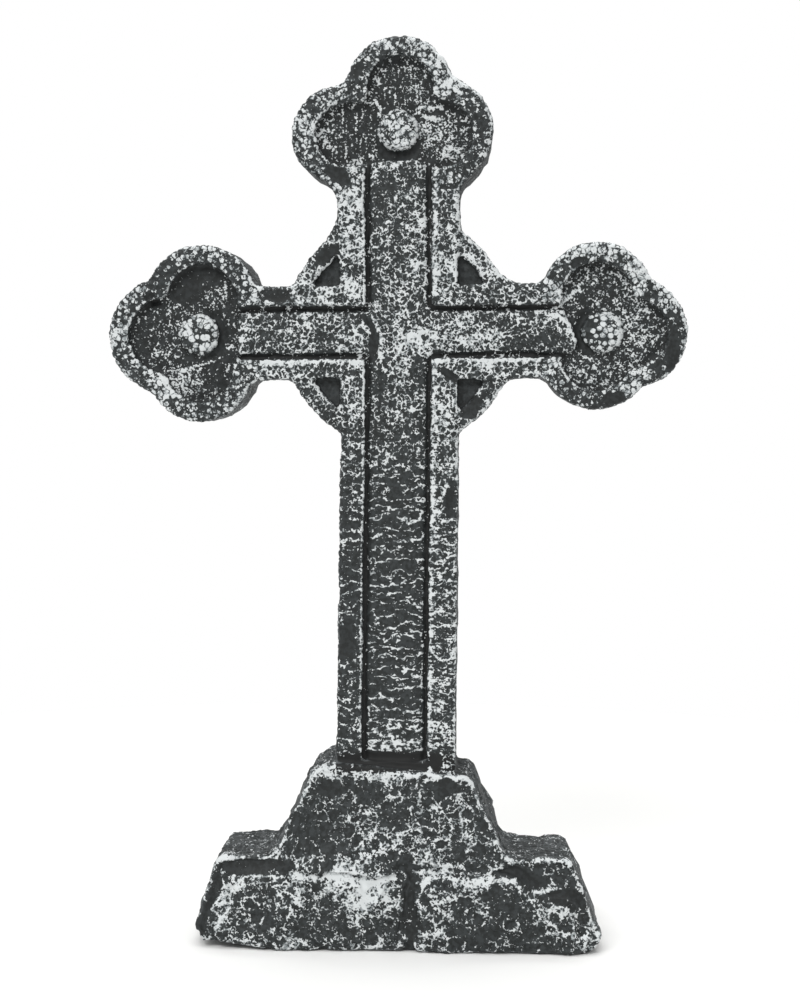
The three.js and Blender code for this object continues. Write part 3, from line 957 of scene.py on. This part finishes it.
def painted_foam(paint, relief):
    """Expanded polystyrene with a matt acrylic coat, dry-brushed.

    The coat is even and dull. The brush leaves off-white on whatever stands out: beads, crests and arrises.
    Painted shade darkens the coat in the deep carving.
    """
    material = bpy.data.materials.new("painted_foam")
    material.use_nodes = True
    tree = material.node_tree
    tree.nodes.clear()
    fields = {}
    for name in (*PATTERNS, "lift", "hollow", "side"):
        fields[name] = add_node(tree, "ShaderNodeAttribute", {"attribute_name": name}, {}).outputs["Fac"]
    place = add_node(tree, "ShaderNodeTexCoord", {}, {}).outputs["Object"]
    patterns = add_patterns(tree, place, relief)

    field = fields["lift"]
    weighted = {"operation": "MULTIPLY_ADD"}
    for name in PATTERNS:
        mixed = add_node(tree, "ShaderNodeMath", weighted, {0: patterns[name], 1: fields[name], 2: field})
        field = mixed.outputs[0]
    smooth = {"interpolation_type": "SMOOTHSTEP"}
    brushed = add_node(
        tree, "ShaderNodeMapRange", smooth, {"Value": field, "From Min": -0.07, "From Max": 0.17}
    )
    swirled = add_node(tree, "ShaderNodeMath", weighted, {0: patterns["flakes"], 1: 7.0, 2: field})
    thick = add_node(
        tree, "ShaderNodeMapRange", smooth, {"Value": swirled.outputs[0], "From Min": 3.2, "From Max": 5.0}
    )

    # The coat is a little uneven, darkened with painted shade in the deep carving, with a streaky wash on the
    # sides
    cloud = add_node(
        tree, "ShaderNodeTexNoise", {}, {"Vector": place, "Scale": 1 / (3.0 * MM), "Detail": 4.0}
    )
    worn = add_node(
        tree, "ShaderNodeMapRange", smooth, {"Value": cloud.outputs[0], "From Min": 0.40, "From Max": 0.62}
    )
    streaks = []
    for size, stretch in ((1.6, (0.08, 1.0, 0.08)), (1.8, (1.0, 0.08, 1.0))):
        drawn = add_node(tree, "ShaderNodeVectorMath", {"operation": "MULTIPLY"}, {0: place, 1: stretch})
        streak = add_node(
            tree,
            "ShaderNodeTexNoise",
            {},
            {"Vector": drawn.outputs[0], "Scale": 1 / (size * MM), "Detail": 2.0},
        )
        streaks.append(streak.outputs[0])
    lines = add_node(tree, "ShaderNodeMath", {"operation": "MAXIMUM"}, {0: streaks[0], 1: streaks[1]})
    wash = add_node(
        tree, "ShaderNodeMapRange", smooth, {"Value": lines.outputs[0], "From Min": 0.48, "From Max": 0.70}
    )
    sides = add_node(
        tree, "ShaderNodeMath", {"operation": "MULTIPLY"}, {0: wash.outputs[0], 1: fields["side"]}
    )
    white = add_node(
        tree,
        "ShaderNodeMix",
        {"data_type": "RGBA"},
        {0: thick.outputs[0], MIX_FROM: (*paint.brush_thin, 1), MIX_TO: (*paint.brush_thick, 1)},
    )
    colour = (*paint.coat, 1)
    layers = (
        (worn.outputs[0], (*paint.coat_worn, 1)),
        # painted shade in the deep carving
        (fields["hollow"], (*paint.hollow, 1)),
        (sides.outputs[0], (*paint.side, 1)),
        (brushed.outputs[0], white.outputs[MIXED]),
    )
    for share, layer in layers:
        mixed = add_node(
            tree, "ShaderNodeMix", {"data_type": "RGBA"}, {0: share, MIX_FROM: colour, MIX_TO: layer}
        )
        colour = mixed.outputs[MIXED]

    grit = add_node(tree, "ShaderNodeTexNoise", {}, {"Vector": place, "Scale": 1 / (0.9 * MM), "Detail": 3.0})
    grain = add_node(tree, "ShaderNodeMath", weighted, {0: brushed.outputs[0], 1: 0.5, 2: grit.outputs[0]})
    bump = add_node(
        tree, "ShaderNodeBump", {}, {"Height": grain.outputs[0], "Strength": 0.5, "Distance": 0.25 * MM}
    )
    rough = add_node(
        tree, "ShaderNodeMapRange", {}, {"Value": brushed.outputs[0], "To Min": 0.62, "To Max": 0.88}
    )
    shader = add_node(
        tree,
        "ShaderNodeBsdfPrincipled",
        {},
        {
            "Base Color": colour,
            "Roughness": rough.outputs[0],
            "Normal": bump.outputs[0],
            "IOR": 1.45,
            "Specular IOR Level": 0.35,
        },
    )
    add_node(tree, "ShaderNodeOutputMaterial", {}, {"Surface": shader.outputs[0]})
    return material


class HEADSTONE_OT_make_block(bpy.types.Operator):
    """Model the carved and painted foam block"""

    bl_idname = "headstone.make_block"
    bl_label = "Make the block"

    def execute(self, context):
        relief = context.scene.headstone_relief
        obj = merged_copy("headstone_block")
        remesh = obj.modifiers.new("Even mesh", "REMESH")
        remesh.mode = "VOXEL"
        remesh.voxel_size = relief.mesh_step
        pattern_modifier(obj, relief)
        apply_modifiers(obj)
        skin = Skin(obj.data)
        height, wander, fields = carve_and_mask(skin, relief)
        moved = (skin.points + wander + height[:, None] * skin.normals) * MM
        moved[:, 2] = np.maximum(moved[:, 2], 0)
        obj.data.vertices.foreach_set("co", moved.astype(np.float32).ravel())
        for name, values in fields.items():
            layer = obj.data.attributes.new(name, "FLOAT", "POINT")
            layer.data.foreach_set("value", values.astype(np.float32))
        obj.data.update()
        thin_hidden_sides(obj, skin)
        obj.data.shade_smooth()
        obj.data.materials.clear()
        obj.data.materials.append(painted_foam(context.scene.headstone_paint, relief))
        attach(obj, BODY)
        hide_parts(NODE)
        return {"FINISHED"}


def soft_light(name, location, aim, size, power):
    """A large square lamp, turned to face a point."""
    data = bpy.data.lights.new(name, "AREA")
    data.shape = "RECTANGLE"
    data.size, data.size_y = size
    data.energy = power
    lamp = bpy.data.objects.new(name, data)
    lamp.location = location
    lamp.rotation_euler = (Vector(aim) - Vector(location)).to_track_quat("-Z", "Y").to_euler()
    bpy.context.scene.collection.objects.link(lamp)


class HEADSTONE_OT_set_stage(bpy.types.Operator):
    """Set up the floor, the soft light and the camera"""

    bl_idname = "headstone.set_stage"
    bl_label = "Set the stage"

    def execute(self, context):
        stage = context.scene.headstone_stage
        bm = bmesh.new()
        bmesh.ops.create_circle(bm, cap_ends=True, segments=128, radius=FLOOR_RADIUS)
        mesh = bpy.data.meshes.new("floor")
        bm.to_mesh(mesh)
        bm.free()
        floor = bpy.data.objects.new("floor", mesh)
        context.scene.collection.objects.link(floor)
        # White studio paper: dull and even, so that only a faint shadow shows on it
        material = bpy.data.materials.new("studio_paper")
        material.use_nodes = True
        shader = material.node_tree.nodes["Principled BSDF"]
        shader.inputs["Base Color"].default_value = (*stage.backdrop, 1)
        shader.inputs["Roughness"].default_value = 1.0
        shader.inputs["Specular IOR Level"].default_value = 0.0
        mesh.materials.append(material)

        world = bpy.data.worlds.new("studio")
        world.use_nodes = True
        tree = world.node_tree
        tree.nodes.clear()
        seen = add_node(tree, "ShaderNodeLightPath", {}, {}).outputs["Is Camera Ray"]
        sky_light = {"Color": (*stage.backdrop, 1), "Strength": stage.sky_strength}
        sky = add_node(tree, "ShaderNodeBackground", {}, sky_light)
        paper = add_node(tree, "ShaderNodeBackground", {}, {"Color": (1, 1, 1, 1), "Strength": 1.0})
        both = add_node(tree, "ShaderNodeMixShader", {}, {0: seen, 1: sky.outputs[0], 2: paper.outputs[0]})
        add_node(tree, "ShaderNodeOutputWorld", {}, {"Surface": both.outputs[0]})
        context.scene.world = world

        soft_light("key", KEY_PLACE, LIGHT_AIM, KEY_SIZE, stage.key_power)
        soft_light("top", TOP_PLACE, LIGHT_AIM, TOP_SIZE, TOP_SHARE * stage.key_power)

        data = bpy.data.cameras.new("photo_camera")
        data.lens = stage.lens
        camera = bpy.data.objects.new("photo_camera", data)
        eye, aim = Vector(stage.eye), Vector(stage.aim)
        facing = (aim - eye).to_track_quat("-Z", "Y").to_matrix().to_4x4()
        camera.matrix_world = Matrix.Translation(eye) @ facing @ Matrix.Rotation(stage.roll, 4, "Z")
        context.scene.collection.objects.link(camera)
        context.scene.camera = camera
        context.scene.view_settings.view_transform = "Standard"
        return {"FINISHED"}


class HEADSTONE_PT_panel(bpy.types.Panel):
    """Sizes, colours and steps of the headstone"""

    bl_label = "Headstone"
    bl_idname = "HEADSTONE_PT_panel"
    bl_space_type = "VIEW_3D"
    bl_region_type = "UI"
    bl_category = "Headstone"

    def draw(self, context):
        scene = context.scene
        for group in (scene.headstone_relief, scene.headstone_paint, scene.headstone_stage):
            box = self.layout.box()
            for name in group.__annotations__:
                box.prop(group, name)
        for operator in (HEADSTONE_OT_make_block, HEADSTONE_OT_set_stage):
            self.layout.operator(operator.bl_idname)


CLASSES = (
    HeadstoneRelief,
    HeadstonePaint,
    HeadstoneStage,
    HEADSTONE_OT_make_block,
    HEADSTONE_OT_set_stage,
    HEADSTONE_PT_panel,
)


def register():
    """Adds the classes and the scene's settings."""
    for cls in CLASSES:
        bpy.utils.register_class(cls)
    bpy.types.Scene.headstone_relief = bpy.props.PointerProperty(type=HeadstoneRelief)
    bpy.types.Scene.headstone_paint = bpy.props.PointerProperty(type=HeadstonePaint)
    bpy.types.Scene.headstone_stage = bpy.props.PointerProperty(type=HeadstoneStage)


def unregister():
    """Takes the settings and the classes away."""
    del bpy.types.Scene.headstone_relief
    del bpy.types.Scene.headstone_paint
    del bpy.types.Scene.headstone_stage
    for cls in reversed(CLASSES):
        bpy.utils.unregister_class(cls)


def main():
    """Makes the headstone and its stage."""
    register()
    bpy.ops.headstone.make_block()
    bpy.ops.headstone.set_stage()


if __name__ == "__main__":
    main()
